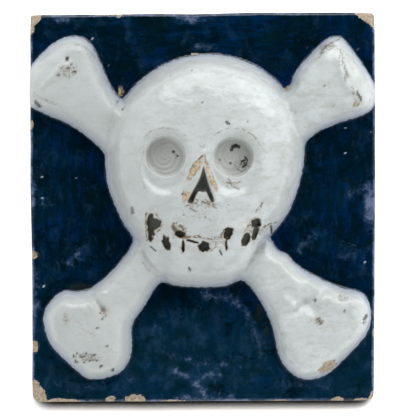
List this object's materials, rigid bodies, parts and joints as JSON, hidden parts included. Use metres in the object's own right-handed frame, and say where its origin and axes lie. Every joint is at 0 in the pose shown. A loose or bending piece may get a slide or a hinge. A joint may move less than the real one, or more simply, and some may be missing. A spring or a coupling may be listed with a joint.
{
  "type": "majolica tile",
  "caption": "Thick tin-glazed earthenware tile with a white skull and crossed bones modelled in high relief on a dark blue ground.",
  "frame": {"origin": "middle of the flat back, on the surface the tile lies on", "axes": "+X to the right of the picture, +Y towards the crown of the skull, +Z out of the face"},
  "size_m": [0.2014, 0.2274, 0.056],
  "materials": {
    "tin_glaze": "glossy white tin glaze on the relief, cobalt blue brushed ground, worn to buff clay at the edges"
  },
  "bodies": {
    "root": {"tile": "tin_glaze"}
  },
  "joints": []
}
